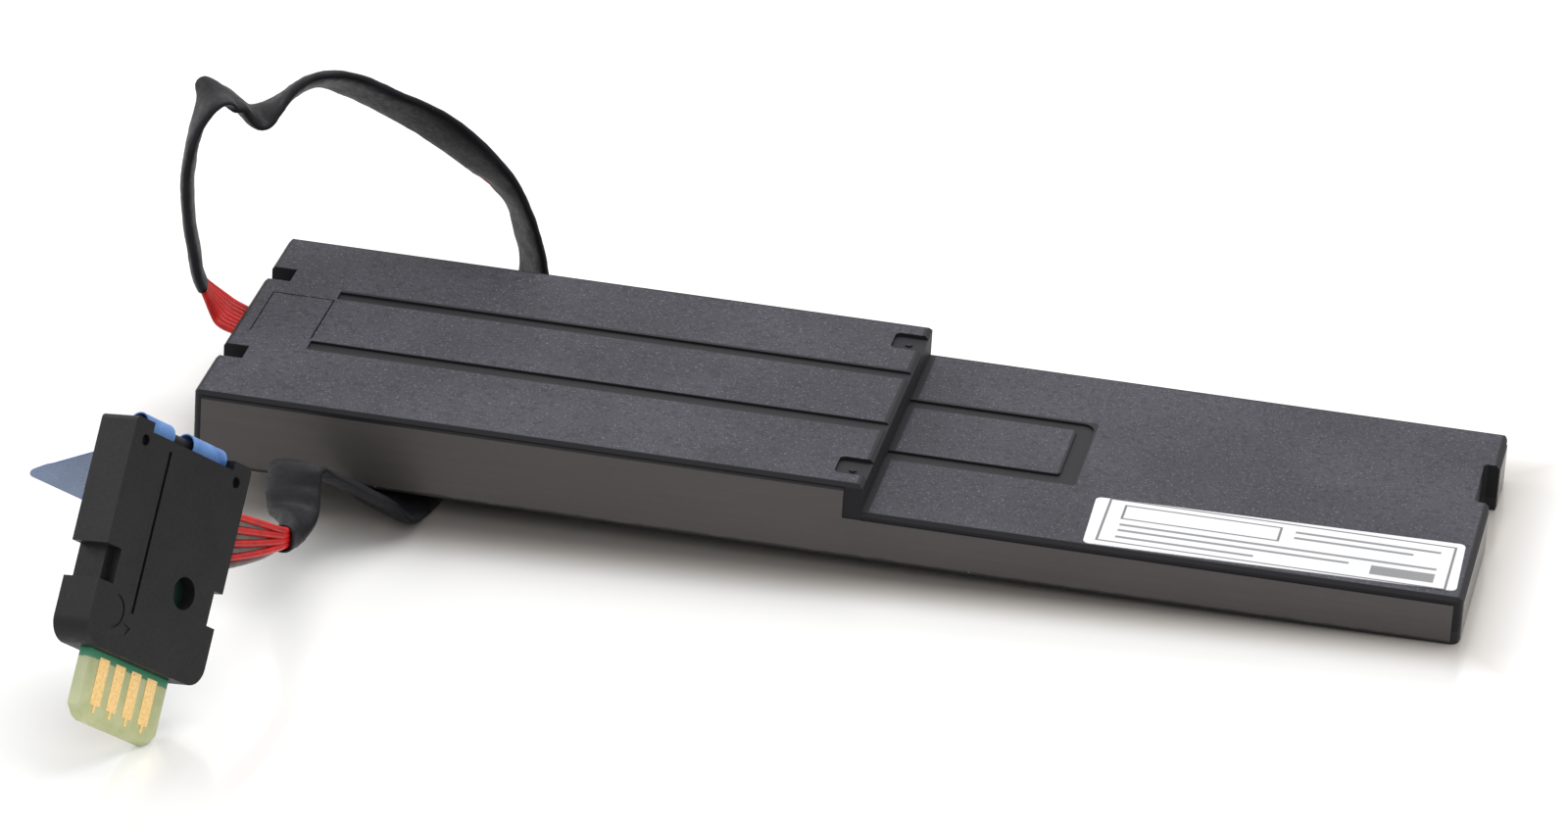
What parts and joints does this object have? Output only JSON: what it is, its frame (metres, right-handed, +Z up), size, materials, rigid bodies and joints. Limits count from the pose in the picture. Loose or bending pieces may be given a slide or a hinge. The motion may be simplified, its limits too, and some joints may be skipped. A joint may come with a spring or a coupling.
{
  "type": "raid battery module",
  "caption": "Flat two-height battery case for a storage controller, leaning on its own sleeved flat cable, which ends in a card-edge plug with a film pull tab.",
  "frame": {"origin": "centre of the case's footprint, on the surface that it lies on", "axes": "+X along the case, from the thick cable end to the thin end; +Y from the film side to the back; +Z up from the surface"},
  "size_m": [0.1622, 0.1268, 0.0415],
  "materials": {
    "case_black": "fine grain",
    "film_grey": "satin film",
    "label_white": "coated",
    "cell_foil": "satin",
    "tape_white": "matt",
    "nickel": "satin",
    "fish_paper": "matt",
    "board_green": "lacquered",
    "chip_black": "matt",
    "ceramic_tan": "satin",
    "bead_brown": "glossy",
    "wire_red": "satin",
    "sleeve_black": "matt",
    "plug_black": "fine grain",
    "card_pale": "satin",
    "gold": "satin",
    "solder": "satin",
    "glue_cream": "matt",
    "tab_blue": "clear film"
  },
  "bodies": {
    "root": {"bottom_case": "case_black", "top_cover": "case_black", "exit_panel": "case_black", "side_film": "film_grey", "end_film": "film_grey", "rating_label": "label_white", "cell_left": "cell_foil", "cell_right": "cell_foil", "cell_tape": "tape_white", "cell_links": "nickel", "insulator_sheet": "fish_paper", "board": "board_green", "board_chips": "chip_black", "board_mosfets": "chip_black", "board_passives": "ceramic_tan", "board_fuse": "ceramic_tan", "thermistor": "bead_brown", "inner_ribbon": "wire_red", "ribbon_joints": "solder", "ribbon_clamp": "glue_cream", "ribbon_cable": "wire_red", "cable_sleeve": "sleeve_black", "plug_front": "plug_black", "plug_back": "plug_black", "plug_board": "card_pale", "plug_fingers": "gold", "plug_joints": "solder", "pull_tab": "tab_blue"}
  },
  "joints": []
}
